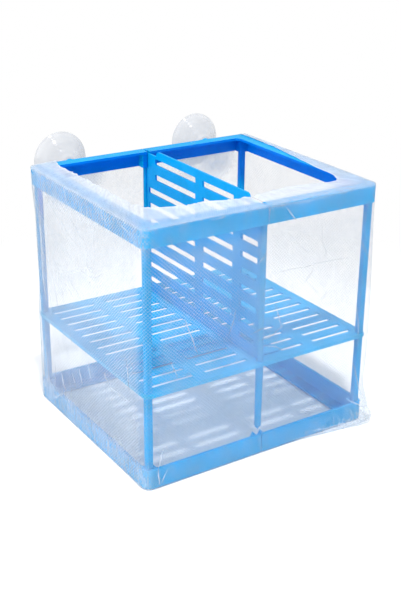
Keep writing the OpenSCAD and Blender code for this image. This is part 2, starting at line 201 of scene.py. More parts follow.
def ring(distance):
    """Point and outward direction on the bag's wall, walked from the middle of the back to the left."""
    d = distance % RING_LENGTH
    for length, (x, y), step, start in RING_RUNS:
        if d <= length + 1e-9:
            break
        d -= length
    if step:
        return Vector((x + step[0] * d, y + step[1] * d)), Vector((step[1], -step[0]))
    turn = math.radians(start + 90 * d / ARC)
    normal = Vector((math.cos(turn), math.sin(turn)))
    return Vector((x, y)) + normal * WALL_R, normal


def wall_top(point):
    """The bag's wall reaches the rail's top, except at the back, where it ends under the cups."""
    if point.y < HALF_Y:
        return NET_TOP
    reach = smooth_step(WALL_X - 14, WALL_X, abs(point.x))
    return BACK_TOP + (NET_TOP - BACK_TOP) * reach


def post_room(point):
    """How far a point lies from the left back post."""
    return math.hypot(max(POST_LO.x - point.x, point.x - POST_HI.x, 0),
                      max(POST_LO.y - point.y, point.y - POST_HI.y, 0))


def slack(point, normal, z):
    """How far the net stands off its flat place: soft wrinkles in the windows, pulled in along the left
    back post, and loose along the right front post with a pouch at its foot."""
    window = smooth_step(8, 24, z) * (1 - smooth_step(128, 146, z))
    flow = ripple(point.x * 0.045, point.y * 0.045, z * 0.022)
    fine = ripple(point.x * 0.16 + 9, point.y * 0.16, z * 0.06)
    out = window * (max(0.0, flow) * 1.4 + max(0.0, fine) * 0.15)
    if point.x < 0 < point.y:
        near = smooth_step(20, 5, (point - LEFT_BACK).length)
        pull = max(0.0, min(1.9, post_room(point) - 0.2))
        upper = smooth_step(60, 82, z) * (1 - smooth_step(122, 147, z))
        out = out * (1 - near) - pull * near * upper
    if point.x > 0 > point.y:
        away = (point - RIGHT_FRONT).length
        out += smooth_step(22, 4, away) * 1.9 * smooth_step(8, 50, z) * (1 - smooth_step(70, 146, z))
        out += smooth_step(24, 4, away) * 4.4 * smooth_step(30, 9, z) * smooth_step(0.2, 4, z)
        if normal.y < -0.3:
            out += 5.2 * smooth_step(18, 74, point.x) * smooth_step(9, 1, z)
    if point.x < 0 > point.y:
        near = smooth_step(18, 3, (point - LEFT_FRONT).length)
        out += near * 0.6 * smooth_step(26, 4, z)
    return out


def wall_cover(point, normal, z):
    """Opacity of the cloth's haze: the left wall is slack and dense, the front is stretched and open."""
    # the left wall: dense on its rails, and thinner at both ends
    rail = 1 - smooth_step(13, 20, z) * (1 - smooth_step(138, 144, z))
    bend = smooth_step(-66, -58, point.y)
    left = 0.28 - 0.08 * (1 - rail) * (1 - smooth_step(50, 60, point.y))
    left *= (bend + (1 - bend) * (0.25 + 0.75 * rail)) * (1 - 0.5 * smooth_step(54, 62, point.y))
    # the front: its window, faint patches round it, the low rail and the pouch hanging at the right
    window = smooth_step(12, 22, z) * (1 - smooth_step(138, 146, z)) * smooth_step(74, 66, abs(point.x))
    front = 0.15 * window * (0.5 + 0.5 * smooth_step(40, 75, z - 0.25 * point.x))
    front += 0.02 * (1 - window) * max(0.0, ripple(point.x * 0.05, z * 0.12, 3) + 0.1)
    front += 0.05 * smooth_step(14, 10, z) + 0.2 * smooth_step(14, 50, point.x) * smooth_step(8, 2, z)
    # the back: denser towards the top, and bunched under the cups
    back = 0.09 + 0.07 * smooth_step(100, 140, z)
    back += 0.42 * smooth_step(26, 16, math.hypot(abs(point.x) - CUP_X, z - RAIL_FOOT))
    # the slack net along the right front post, and at the foot of the left back one
    loose = (0.02 + 0.1 * smooth_step(34, 16, z)) * smooth_step(26, 6, (point - RIGHT_FRONT).length)
    foot = 0.12 * smooth_step(24, 8, z) * smooth_step(28, 6, (point - LEFT_BACK).length)
    cover = left * max(0.0, -normal.x) + front * max(0.0, -normal.y) + \
        0.1 * max(0.0, normal.x) + back * max(0.0, normal.y) + loose + foot
    return cover * (1 + 0.5 * ripple(point.x * 0.06, point.y * 0.06, z * 0.05))


def wall_point(distance, z):
    """The point of the bag's wall at a walk round the ring and a height."""
    point, normal = ring(distance)
    place = point + normal * slack(point, normal, z)
    return Vector((place.x, place.y, z))


def floor_point(x, y):
    """The bag's floor: nearly flat, with a low swell inside the bottom frame."""
    inside = smooth_step(0, 12, min(WALL_X - 10 - abs(x), WALL_Y - 10 - abs(y)))
    swell = ripple(x * 0.03, y * 0.03, 4) + 0.4
    return Vector((x, y, FLOOR_Z + inside * max(0.0, swell) * 0.9))


# ---- the shape of the hem

# the elastic edge in spans, from the middle of the back round the left, front and right: the walk round
# the ring to the span's end, and its line in millimetres
D_LEFT_BACK = HALF_X + ARC * 0.9
D_LEFT_FRONT = HALF_X + 2 * HALF_Y + ARC * 1.5
D_FRONT = RING_LENGTH / 2
HEM_EDGE = [
    (D_LEFT_BACK, [
        (0, 71.2, 148.0), (-40, 71.2, 148.0), (-55, 71.3, 148.4), (-60.0, 71.5, 150.0), (-61.4, 71.6, 153),
        (-62.2, 70.8, 156.9), (-62.6, 67.1, 157.8)]),
    (D_LEFT_FRONT, [
        (-62.6, 67.1, 157.8), (-64.9, 60, 157.6), (-65.7, 55.3, 157.6), (-65.0, 45.9, 157.5),
        (-64.6, 34.8, 157.4), (-64.6, 16.8, 157.4), (-64.1, 0.6, 157.3), (-64.5, -16.6, 157.3),
        (-64.6, -31.0, 157.4), (-61.6, -40.2, 157.6)]),
    (D_FRONT, [
        (-61.6, -40.2, 157.6), (-56.4, -43.2, 157.5), (-46.2, -46.2, 157.5), (-39.7, -47.8, 157.3),
        (-28.4, -47.0, 157.4), (-20.8, -49.0, 157.3), (-11.2, -52.4, 157.4), (-0.95, -53.2, 157.4)]),
    (RING_LENGTH - D_LEFT_FRONT, [
        (0.95, -53.0, 157.4), (10.9, -50.6, 157.4), (26.5, -48.7, 157.4), (40.2, -49.9, 157.4),
        (54.9, -53.6, 157.4), (61.0, -53.4, 157.5), (63.8, -50.6, 157.5)]),
    (RING_LENGTH - D_LEFT_BACK, [
        (63.8, -50.6, 157.5), (67.9, -41.7, 157.4), (69.1, -24.8, 157.3), (72.7, 2.3, 157.3),
        (76.1, 28.5, 157.2), (76.9, 52.1, 157.2), (77.0, 66.4, 157.2)]),
    (RING_LENGTH, [
        (77.0, 66.4, 157.2), (76.8, 70.6, 156.6), (75.6, 71.6, 152.4), (73.4, 71.5, 149.4), (68, 71.2, 148.2),
        (40, 71.2, 148.0), (0, 71.2, 148.0)])]

# how far the hem's loose border hangs down the front, as (x, height of its lower edge)
HEM_HANG = [(-80, 154.6), (-60, 155.6), (-42, 156.0), (-23, 155.6), (-10, 154.9), (10, 152.9), (24, 151.8),
            (45, 153.6), (59, 155.2), (80, 154.4)]


def hem_edge(distance):
    """The elastic edge's point that belongs to a walk round the ring."""
    low = 0.0
    for high, line in HEM_EDGE:
        if distance <= high + 1e-6:
            break
        low = high
    return along(line, (distance - low) / (high - low))


def ruffle(point):
    """How strongly the hem is ruffled: most at the left and the front's left half."""
    if point.y > WALL_Y - 6:
        return 0.3
    if point.y < -WALL_Y + 6:
        return table_value([(-80, 1.0), (10, 0.8), (40, 0.45), (80, 0.3)], point.x)
    return 0.9 if point.x < 0 else 0.2


def hem_point(distance, across):
    """A point of the hem: 0 is its border on the wall and 1 the elastic edge."""
    point, normal = ring(distance)
    edge = hem_edge(distance)
    back = point.y > WALL_Y - 0.01
    # behind the cups the whole hem stays on the outside of the wall
    outside = back and edge.z < 149
    top = wall_top(point) + 0.35
    if back:
        low = top - 3.6 + 0.5 * ripple(distance * 0.09, 2, 0)
    elif point.y < -HALF_Y:
        low = table_value(HEM_HANG, point.x) + 0.3 * ripple(distance * 0.4, 2, 0)
    else:
        low = 154.4 + 0.9 * ripple(distance * 0.09, 2, 0)
    start = Vector((point.x + normal.x * 0.15, point.y + normal.y * 0.15, low))
    crest = Vector((point.x - normal.x * 0.3, point.y - normal.y * 0.3, max(top, low + 0.8)))
    inward = max(0.0, (across - CREST) / (1 - CREST))
    if across < CREST:
        place = start.lerp(crest, across / CREST)
    else:
        place = crest.lerp(edge, inward)
        place.z += 0 if outside else 0.2 * math.sin(math.pi * min(1.0, inward * 1.1))
    # soft puckers run across the hem and deepen towards the elastic
    bent = distance + 9 * ripple(distance * 0.06, 1, 8)
    wave = ripple(bent * 0.15, across * 0.9, 7)
    small = ripple(bent * 0.42, across * 2.2, 3)
    free = smooth_step(0.35, 0.75, inward)
    lift = ((0.15 + 1.1 * free) * wave + (0.1 + 0.6 * free) * small) * ruffle(point)
    if outside:
        place.y += max(0.0, lift) * 0.9
    else:
        place.z += max(-0.1, lift)
    flat = Vector((edge.x - crest.x, edge.y - crest.y, 0))
    if inward > 0.5 and flat.length > 3:
        place += flat.normalized() * (ripple(bent * 0.3, 5, 1) * (inward - 0.5) * 2 * ruffle(point))
    # the cleft for the divider
    if abs(place.x) < CLEFT and CLEFT_Y < place.y < 0:
        place.x = CLEFT if distance >= D_FRONT else -CLEFT
    return place


def hem_cover(point, across):
    """Opacity of the hem: it starts open on the wall and is densest where it is gathered."""
    inward = max(0.0, (across - CREST) / (1 - CREST))
    if point.y < -WALL_Y + 6:
        rail = table_value([(-80, 0.4), (0, 0.32), (80, 0.24)], point.x)
        loose = table_value([(-80, 0.74), (0, 0.68), (30, 0.5), (80, 0.42)], point.x)
    else:
        rail, loose = (0.46, 0.66) if point.x < 0 else (0.28, 0.4)
    corner = 1 - 0.24 * smooth_step(30, 8, (point - LEFT_FRONT).length)
    free = smooth_step(0.22, 0.5, inward)
    body = smooth_step(0, CREST, across) * (rail + (loose - rail) * free) * corner
    return body + 0.14 * smooth_step(0.84, 1, inward)


# ---- settings

class BreedingBoxPlastic(bpy.types.PropertyGroup):
    """Finish of the moulded frame."""
    colour: bpy.props.StringProperty(
        name="Plastic colour", description="Colour of the clear blue polystyrene", default="#00B8EC")
    # painted shade: the deeper blue that stands in for the shade on faces that look into the box
    painted_shade_colour: bpy.props.StringProperty(
        name="Inner colour", description="Deeper blue of the faces that look into the box", default="#0086E6")
    # painted light: the shelf's paler blue stands in for the light that reaches the thin shelf from both sides
    shelf: bpy.props.StringProperty(
        name="Shelf colour", description="Paler blue of the thin shelf, lit from both sides", default="#04D0F2")
    post: bpy.props.StringProperty(
        name="Post colour", description="Deeper blue of the solid posts", default="#00A8E2")
    # painted shade: the divider gets a deeper blue than the frame, standing in for the shade it hangs in inside
    # the box
    divider: bpy.props.StringProperty(
        name="Divider colour", description="Deeper blue of the divider, hung inside the box", default="#00AFEA")
    tint: bpy.props.StringProperty(
        name="Light passing through", description="Colour that light takes through a wall", default="#08C3FA")
    clearness: bpy.props.FloatProperty(
        name="Clearness", description="Share of light that passes straight through a wall", default=0.1,
        min=0, max=1, subtype="FACTOR")
    glow: bpy.props.FloatProperty(
        name="Glow", description="Share of light that is scattered through a wall", default=0.38,
        min=0, max=1, subtype="FACTOR")


class BreedingBoxNet(bpy.types.PropertyGroup):
    """Sizes of the net bag. The threads are drawn coarser than a real net's, which would be too fine to
    show; the cloth's haze stands for the threads between them."""
    pitch: bpy.props.FloatProperty(
        name="Thread spacing", description="Distance between the drawn threads, coarser than the real net's",
        default=1.5 * MM, min=0.5 * MM, unit="LENGTH")
    thread: bpy.props.FloatProperty(
        name="Thread thickness", description="Diameter of one thread", default=0.11 * MM,
        min=0.05 * MM, unit="LENGTH")
    bead: bpy.props.FloatProperty(
        name="Elastic edge", description="Radius of the gathered elastic edge", default=0.2 * MM,
        min=0.2 * MM, unit="LENGTH")
    colour: bpy.props.StringProperty(
        name="Net colour", description="Colour of the polyester threads", default="#E1E6EB")
    seed: bpy.props.IntProperty(name="Seed", description="Seed of the gathers' lumps", default=4)


class BreedingBoxStage(bpy.types.PropertyGroup):
    """Camera of the stage."""
    place: bpy.props.FloatVectorProperty(
        name="Camera place", description="Where the camera stands", default=(-0.33310, -0.51656, 0.3370),
        size=3, subtype="TRANSLATION", unit="LENGTH")
    turn: bpy.props.FloatVectorProperty(
        name="Camera turn", description="Azimuth, elevation and roll in degrees",
        default=(-34.5942, 23.0762, 1.1477), size=3)
    lens: bpy.props.FloatProperty(name="Lens", description="Focal length in millimetres", default=63.59, min=10)
    shift: bpy.props.FloatProperty(name="Shift", description="Sideways shift of the view", default=-0.0491)


# ---- materials

def moulded_polystyrene(name, colour, painted_shade_colour, tint, clearness, glow, roughness=0.24):
    """Injection-moulded clear blue polystyrene: a glossy skin, and walls that let some light through
    and glow where light falls on their far side. Faint flow marks and fine scuffs break the gloss."""
    material, tree = new_material(name)
    place = add(tree, "TexCoord").outputs["Object"]
    # flow marks of the moulding, about 15 mm long
    flow = add(tree, "TexNoise", Vector=place, Scale=60.0, Detail=3.0, Roughness=0.55)
    shade = add(tree, "MapRange", Value=flow, i1=0.3, i2=0.7, i3=0.9, i4=1.08)
    # painted shade: faces that look into the box are mixed towards a deeper blue, which stands in for the dimmer
    # light that reaches them through the walls
    level = add(tree, "VectorMath", operation="MULTIPLY", i0=place, i1=(1, 1, 0))
    facing = add(tree, "VectorMath", operation="DOT_PRODUCT", i0=level,
                 i1=add(tree, "NewGeometry").outputs["Normal"]).outputs["Value"]
    inside = add(tree, "MapRange", Value=facing, i1=-0.03, i2=-0.062, i3=0.0, i4=1.0)
    # the painted shade is kept off the lower part and the front, which the pale ground lights, so it lies at the
    # top
    height = add(tree, "VectorMath", operation="DOT_PRODUCT", i0=place, i1=(0, 0.15, 1))
    height = add(tree, "MapRange", Value=height.outputs["Value"], i1=0.13, i2=0.14, i3=0.0, i4=1.0)
    # a trace of the painted shade at the foot of the right side, standing in for the shelf's shadow there
    low = add(tree, "VectorMath", operation="DOT_PRODUCT", i0=place, i1=(1, 0, -1))
    low = add(tree, "MapRange", Value=low.outputs["Value"], i1=0.045, i2=0.06, i3=0.0, i4=0.05)
    where = add(tree, "Math", operation="MAXIMUM", i0=height, i1=low)
    inside = add(tree, "Math", operation="MULTIPLY", i0=inside, i1=where)
    # the plastic's colour with the painted shade mixed in
    blue = add(tree, "Mix", data_type="RGBA", Factor=inside, i6=linear(colour), i7=linear(painted_shade_colour))
    base = add(tree, "Mix", data_type="RGBA", blend_type="MULTIPLY", Factor=1.0,
               i6=blue.outputs[2], i7=shade).outputs[2]
    # scuffs that roughen the gloss, drawn 0.7 mm wide because real ones are too fine to show
    scuff = add(tree, "TexNoise", Vector=place, Scale=1400.0, Detail=2.0)
    rough = add(tree, "MapRange", Value=scuff, i1=0.35, i2=0.75, i3=roughness - 0.05, i4=roughness + 0.14)
    bump = add(tree, "Bump", Height=flow, Strength=0.12, Distance=0.0004)
    skin = add(tree, "BsdfPrincipled", Base_Color=base, Roughness=rough, Normal=bump, IOR=1.42,
               Specular_IOR_Level=0.14)
    through = add(tree, "BsdfTranslucent", Color=base, Normal=bump)
    body = add(tree, "MixShader", i0=glow, i1=skin, i2=through)
    clear = add(tree, "BsdfTransparent", Color=linear(tint))
    mixed = add(tree, "MixShader", i0=clearness, i1=body, i2=clear)
    add(tree, "OutputMaterial", Surface=mixed)
    return material


def soft_vinyl(name):
    """Clear plasticised vinyl of the suction cups: it only greys what lies behind it, a little more where
    the wall is seen edge on, and its wet gloss shows the shallow rings of the turned mould."""
    material, tree = new_material(name)
    place = add(tree, "TexCoord").outputs["Object"]
    # a faint clouding, about 8 mm wide
    cloud = add(tree, "TexNoise", Vector=place, Scale=120.0, Detail=2.0)
    ramp = add(tree, "ValToRGB", Fac=cloud)
    for stop, at, colour in zip(ramp.color_ramp.elements, (0.3, 0.7), ("#C2C5CA", "#E0E2E5")):
        stop.position, stop.color = at, linear(colour)
    skin = add(tree, "BsdfPrincipled", Base_Color=ramp, Roughness=0.14, IOR=1.53)
    edge = add(tree, "LayerWeight", Blend=0.3)
    share = add(tree, "MapRange", Value=edge.outputs["Facing"], i1=0.0, i2=0.9, i3=0.16, i4=0.6)
    clear = add(tree, "BsdfTransparent", Color=linear("#EFF0F2"))
    mixed = add(tree, "MixShader", i0=share, i1=clear, i2=skin)
    add(tree, "OutputMaterial", Surface=mixed)
    return material


def polyester_yarn(name, colour):
    """White polyester monofilament of the net: a pale thread with a soft sheen."""
    material, tree = new_material(name)
    place = add(tree, "TexCoord").outputs["Object"]
    # the threads' tone drifts over about 11 mm
    cloud = add(tree, "TexNoise", Vector=place, Scale=90.0, Detail=3.0)
    tone = add(tree, "MapRange", Value=cloud, i1=0.3, i2=0.7, i3=0.9, i4=1.05)
    base = add(tree, "Mix", data_type="RGBA", blend_type="MULTIPLY", Factor=1.0,
               i6=linear(colour), i7=tone).outputs[2]
    skin = add(tree, "BsdfPrincipled", Base_Color=base, Roughness=0.45, Sheen_Weight=0.2)
    through = add(tree, "BsdfTranslucent", Color=base)
    mixed = add(tree, "MixShader", i0=0.4, i1=skin, i2=through)
    add(tree, "OutputMaterial", Surface=mixed)
    return material


def net_cloth(name, colour, gather=0.0):
    """The haze of a fine polyester net: mostly holes, with the threads' pale colour. Its opacity is the
    cloth's own cover attribute, broken by faint clouds; gathered cloth gets streaks that run across the
    hem instead, from its UV map in millimetres."""
    material, tree = new_material(name)
    place = add(tree, "TexCoord")
    if gather:
        # puckers every few millimetres along the hem, drawn out across it
        turned = add(tree, "Mapping", Vector=place.outputs["UV"], Scale=(gather, gather * 0.45, 1.0))
        cloud = add(tree, "TexNoise", Vector=turned, Scale=1.0, Detail=4.0, Roughness=0.6)
    else:
        # clouds about 3 mm wide
        place = place.outputs["Object"]
        cloud = add(tree, "TexNoise", Vector=place, Scale=300.0, Detail=2.0, Roughness=0.6)
    share = add(tree, "MapRange", Value=cloud, i1=0.3, i2=0.7, i3=0.8, i4=1.2)
    cover = add(tree, "Attribute", attribute_name="cover").outputs["Fac"]
    share = add(tree, "Math", operation="MULTIPLY", use_clamp=True, i0=share, i1=cover)
    if not gather:
        # upright streaks about 1.6 mm wide and 6 mm tall, where the threads lie closer or wider apart; they
        # show where the net lies on a rail and hardly in the windows
        upright = add(tree, "Mapping", Vector=place, Scale=(620.0, 620.0, 165.0))
        streak = add(tree, "TexNoise", Vector=upright, Scale=1.0, Detail=3.0, Roughness=0.6)
        streak = add(tree, "MapRange", Value=streak, i1=0.33, i2=0.67, i3=-0.13, i4=0.17)
        height = add(tree, "SeparateXYZ", i0=place).outputs["Z"]
        # the foot and the top of the low rail and the foot of the top one, in millimetres
        foot, low_top, top = (
            add(tree, "MapRange", Value=height, i1=low * MM, i2=high * MM, i3=0.1, i4=1.0)
            for low, high in ((1.5, 2.5), (14, 11.5), (144, 146)))
        low_rail = add(tree, "Math", operation="MINIMUM", i0=foot, i1=low_top)
        on_rail = add(tree, "Math", operation="MAXIMUM", i0=low_rail, i1=top)
        streak = add(tree, "Math", operation="MULTIPLY", i0=streak, i1=on_rail)
        share = add(tree, "Math", operation="ADD", use_clamp=True, i0=share, i1=streak)
    bump = add(tree, "Bump", Height=cloud, Strength=0.3 if gather else 0.1, Distance=0.0006)
    skin = add(tree, "BsdfPrincipled", Normal=bump, Base_Color=linear(colour), Roughness=0.6, Sheen_Weight=0.2)
    through = add(tree, "BsdfTranslucent", Color=linear(colour))
    cloth = add(tree, "MixShader", i0=0.45, i1=skin, i2=through)
    mixed = add(tree, "MixShader", i0=share, i1=add(tree, "BsdfTransparent"), i2=cloth)
    add(tree, "OutputMaterial", Surface=mixed)
    return material


# ---- geometry nodes

def yarn_tree():
    """Lays a round thread along every edge of a guide mesh."""
    tree = bpy.data.node_groups.new("net_yarn", "GeometryNodeTree")
    face = tree.interface
    face.new_socket("Guide", in_out="INPUT", socket_type="NodeSocketGeometry")
    face.new_socket("Geometry", in_out="OUTPUT", socket_type="NodeSocketGeometry")
    for name, default in (("Thread radius", 0.055 * MM), ("Lumps", 0.0), ("Lump length", 3 * MM)):
        face.new_socket(name, in_out="INPUT", socket_type="NodeSocketFloat").default_value = default
    for name, default in (("Sides", 3), ("Seed", 4)):
        face.new_socket(name, in_out="INPUT", socket_type="NodeSocketInt").default_value = default
    face.new_socket("Yarn", in_out="INPUT", socket_type="NodeSocketMaterial")
    own = add(tree, "NodeGroupInput").outputs
    lines = add(tree, "GeometryNodeMeshToCurve", Mesh=own["Guide"])
    scale = add(tree, "Math", operation="DIVIDE", i0=1.0, i1=own["Lump length"])
    lump = add(tree, "TexNoise", noise_dimensions="4D", Scale=scale, W=own["Seed"], Detail=1.0,
               Vector=add(tree, "GeometryNodeInputPosition"))
    swing = add(tree, "Math", operation="SUBTRACT", i0=lump, i1=0.4)
    grown = add(tree, "Math", operation="MULTIPLY_ADD", i0=swing, i1=own["Lumps"], i2=1.0)
    heavy = add(tree, "GeometryNodeInputNamedAttribute", data_type="FLOAT", Name="heavy")
    grown = add(tree, "Math", operation="MULTIPLY", i0=grown, i1=heavy)
    radius = add(tree, "Math", operation="MULTIPLY", i0=grown, i1=own["Thread radius"])
    sized = add(tree, "GeometryNodeSetCurveRadius", Curve=lines, Radius=radius)
    profile = add(tree, "GeometryNodeCurvePrimitiveCircle", Radius=1.0, Resolution=own["Sides"])
    tube = add(tree, "GeometryNodeCurveToMesh", Curve=sized, Profile_Curve=profile,
               Scale=add(tree, "GeometryNodeInputRadius"), Fill_Caps=True)
    real = add(tree, "GeometryNodeRealizeInstances", Geometry=tube)
    done = add(tree, "GeometryNodeSetMaterial", Geometry=real, Material=own["Yarn"])
    add(tree, "NodeGroupOutput", Geometry=done)


def spun(name, lines, weights=None, **sizes):
    """Lays threads along lines of points in millimetres, with the yarn tree's sizes, as a plain mesh that
    rides on the frame. Weights are each point's share of the thread's radius."""
    points, edges = [], []
    for line in lines:
        first = len(points)
        points.extend(line)
        edges.extend((first + i, first + i + 1) for i in range(len(line) - 1))
    guide = mesh_object(name + "_guide", points, [], None, edges=edges)
    weights = weights or [thread_weight(point) for point in points]
    guide.data.attributes.new("heavy", "FLOAT", "POINT").data.foreach_set("value", weights)
    tree = bpy.data.node_groups["net_yarn"]
    sockets = {s.name: s.identifier for s in tree.interface.items_tree if s.in_out == "INPUT"}
    maker = guide.modifiers.new("yarn", "NODES")
    maker.node_group = tree
    maker[sockets["Yarn"]] = bpy.data.materials["polyester_yarn"]
    for key, value in sizes.items():
        maker[sockets[key.replace("_", " ")]] = value
    # the evaluated result as a plain mesh
    mesh = bpy.data.meshes.new_from_object(guide.evaluated_get(bpy.context.evaluated_depsgraph_get()))
    mesh.name = name
    mesh.shade_smooth()
    piece = bpy.data.objects.new(name, mesh)
    bpy.context.scene.collection.objects.link(piece)
    bpy.data.objects.remove(guide)
    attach(piece, "frame")


def thread_weight(point):
    """How thick the thread looks: the left wall's net is bunched, so its threads lie doubled."""
    side = smooth_step(-WALL_X + 4, -WALL_X + 1, point.x) * smooth_step(-67, -60, point.y)
    return 1 + 0.75 * side * smooth_step(0.3, 2, point.z)


# ---- operators

class BREEDING_OT_plastics(bpy.types.Operator):
    """Gives every moulded piece of the frame, shelf, posts and divider its clear blue finish"""
    bl_idname = "breeding_box.plastics"
    bl_label = "Moulded plastics"

    def execute(self, context):
        own = context.scene.breeding_plastic
        # the solid posts and the divider let less light through, the thin shelf lets more; the plates'
        # gloss is duller
        clear, glow = own.clearness, own.glow
        # the divider's colour holds painted shade, and the shelf's paler colour holds painted light
        frame_blue, post_blue, divider_painted_shade_blue, shelf_painted_light_blue = (
            moulded_polystyrene("blue_moulded_polystyrene" + name, colour, own.painted_shade_colour, own.tint, *finish)
            for name, colour, *finish in (
                ("", own.colour, clear, glow), ("_posts", own.post, clear - 0.06, glow - 0.06),
                ("_divider_painted_shade", own.divider, clear - 0.06, glow, 0.3),
                ("_shelf", own.shelf, clear + 0.22, glow + 0.07, 0.3)))
        for name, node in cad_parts.items():
            if name.startswith(("net_", "suction_")):
                continue
            node.data.materials.clear()
            finish = divider_painted_shade_blue if name == "divider" else shelf_painted_light_blue if name.startswith("shelf_") else \
                post_blue if "_post_" in name else frame_blue
            node.data.materials.append(finish)
        return {"FINISHED"}


class BREEDING_OT_cups(bpy.types.Operator):
    """Turns the soft suction cups, with the rings of their mould and a thin rounded lip"""
    bl_idname = "breeding_box.cups"
    bl_label = "Suction cups"

    def execute(self, context):
        vinyl = soft_vinyl("clear_soft_vinyl")
        around = 96
        for side in ("left", "right"):
            name = "suction_cup_" + side
            low, high = (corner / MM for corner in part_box(name))
            centre = (low + high) / 2
            rim = (high.z - low.z) / 2
            head, mouth = low.y, high.y
            # outline of the cup from the head in its socket to the mouth, as (radius, y)
            outline = [
                (0.0, head), (1.55, head), (2.2, head + 0.5), (2.25, head + 0.8), (2.25, head + 1.7),
                (1.84, head + 1.85), (1.84, 73.7), (4.9, 73.75), (5.3, 74.0), (5.6, 74.5), (6.1, 75.6),
                (6.9, 76.2), (7.9, 76.9), (9.3, 78.2), (11.0, 79.6), (12.6, 81.1), (14.2, 82.7), (15.6, 84.2),
                (16.8, 85.6), (17.6, 86.4), (rim - 0.12, mouth - 0.35), (rim, mouth - 0.1), (rim - 0.1, mouth),
                (rim - 0.7, mouth - 0.1), (16.2, 86.2), (14.4, 85.3), (12.0, 84.5), (9.0, 83.9), (6.0, 83.5),
                (3.0, 83.2), (0.0, 83.1)]
            # the same outline with a point about every 0.45 mm
            fine = []
            for (r0, y0), (r1, y1) in zip(outline, outline[1:]):
                steps = max(1, int(math.hypot(r1 - r0, y1 - y0) / 0.45))
                fine += [(r0 + (r1 - r0) * i / steps, y0 + (y1 - y0) * i / steps) for i in range(steps)]
            fine.append(outline[-1])
            # the mould's rings, on the cone only
            for i, (radius, y) in enumerate(fine):
                cone = smooth_step(6, 12, radius) * (y > 73)
                groove = 0.22 * cone * sum(math.exp(-((radius - r) / 0.5) ** 2) for r in (8.6, 12.4, 15.8))
                fine[i] = (radius, y - groove)
            turns = [2 * math.pi * k / around for k in range(around)]
            points = [(centre.x + radius * math.cos(turn), y, centre.z + radius * math.sin(turn))
                      for turn in turns for radius, y in fine]
            cup = mesh_object("soft_cup_" + side, points, grid_faces(around, len(fine), closed=True), vinyl)
            outward(cup)
            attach(cup, "cup_" + side)
            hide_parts(name)
        return {"FINISHED"}


class BREEDING_OT_net(bpy.types.Operator):
    """Weaves the net bag: its cloth, and every thread of its walls and floor"""
    bl_idname = "breeding_box.net"
    bl_label = "Net bag"

    def execute(self, context):
        own = context.scene.breeding_net
        cloth = net_cloth("polyester_net_haze", own.colour)
        polyester_yarn("polyester_yarn", own.colour)
        yarn_tree()
        self.weave_cloth(cloth)
        self.lay_threads(own.pitch / MM, own.thread / 2)
        return {"FINISHED"}

    def weave_cloth(self, cloth, columns=300, rows=52, rings=24, floor_cover=0.12):
        """The cloth itself, walls and floor in one piece."""
        rims = [ring(RING_LENGTH * i / columns) for i in range(columns)]
        points, cover = [], []
        for i, (rim, normal) in enumerate(rims):
            for j in range(rows + 1):
                z = FLOOR_Z + (wall_top(rim) - FLOOR_Z) * j / rows
                points.append(wall_point(RING_LENGTH * i / columns, z))
                cover.append(wall_cover(rim, normal, z))
        faces = grid_faces(columns, rows + 1, closed=True)
        # the floor closes the walls in rings that shrink towards the middle
        previous = [i * (rows + 1) for i in range(columns)]
        for k in range(1, rings):
            current = [len(points) + i for i in range(columns)]
            points += [floor_point(*(rim * (1 - k / rings))) for rim, _ in rims]
            faces += [(previous[i - 1], current[i - 1], current[i], previous[i]) for i in range(columns)]
            previous = current
        faces += [(previous[i - 1], len(points), previous[i]) for i in range(columns)]
        points.append(floor_point(0, 0))
        cover += [floor_cover] * (len(points) - len(cover))
        bag = mesh_object("net_bag", points, faces, cloth, cover=cover)
        outward(bag)
        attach(bag, "frame")
        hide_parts("net_front_panel", "net_back_panel", "net_left_panel", "net_right_panel", "net_bottom_panel")

    def lay_threads(self, pitch, radius, steps=42, floor_step=4.2):
        """Two sets of threads that cross diagonally on the walls, and the floor's two ways. Steps are the
        straight pieces of a wall's thread, and floor_step is the length of a floor thread's, in mm."""
        count = round(RING_LENGTH / (pitch * math.sqrt(2)))
        slants = {1: [], -1: []}
        for lean, lines in slants.items():
            for k in range(count):
                # the wall ends lower at the back, and cuts a thread there
                line = []
                for j in range(steps + 1):
                    z = FLOOR_Z + (NET_TOP - FLOOR_Z) * j / steps
                    d = (RING_LENGTH * k / count + lean * (z - FLOOR_Z)) % RING_LENGTH
                    if z <= wall_top(ring(d)[0]) + 0.01:
                        line.append(wall_point(d, z))
                    else:
                        lines.append(line)
                        line = []
                lines.append(line)
        floor = []
        for axis, reach, other in ((0, WALL_X, WALL_Y), (1, WALL_Y, WALL_X)):
            for k in range(int(2 * other / pitch)):
                side = -other + pitch * (k + 0.5)
                over = max(0.0, abs(side) - (other - WALL_R))
                end = reach - WALL_R + math.sqrt(max(0.0, WALL_R ** 2 - over ** 2))
                pieces = round(2 * end / floor_step)
                places = [-end + 2 * end * j / pieces for j in range(pieces + 1)]
                floor.append([floor_point(at, side) if axis == 0 else floor_point(side, at) for at in places])
        for name, lines in (("net_threads_rising", slants[1]), ("net_threads_falling", slants[-1]),
                            ("net_floor_threads", floor)):
            spun(name, [line for line in lines if len(line) > 1], Thread_radius=radius, Sides=3)


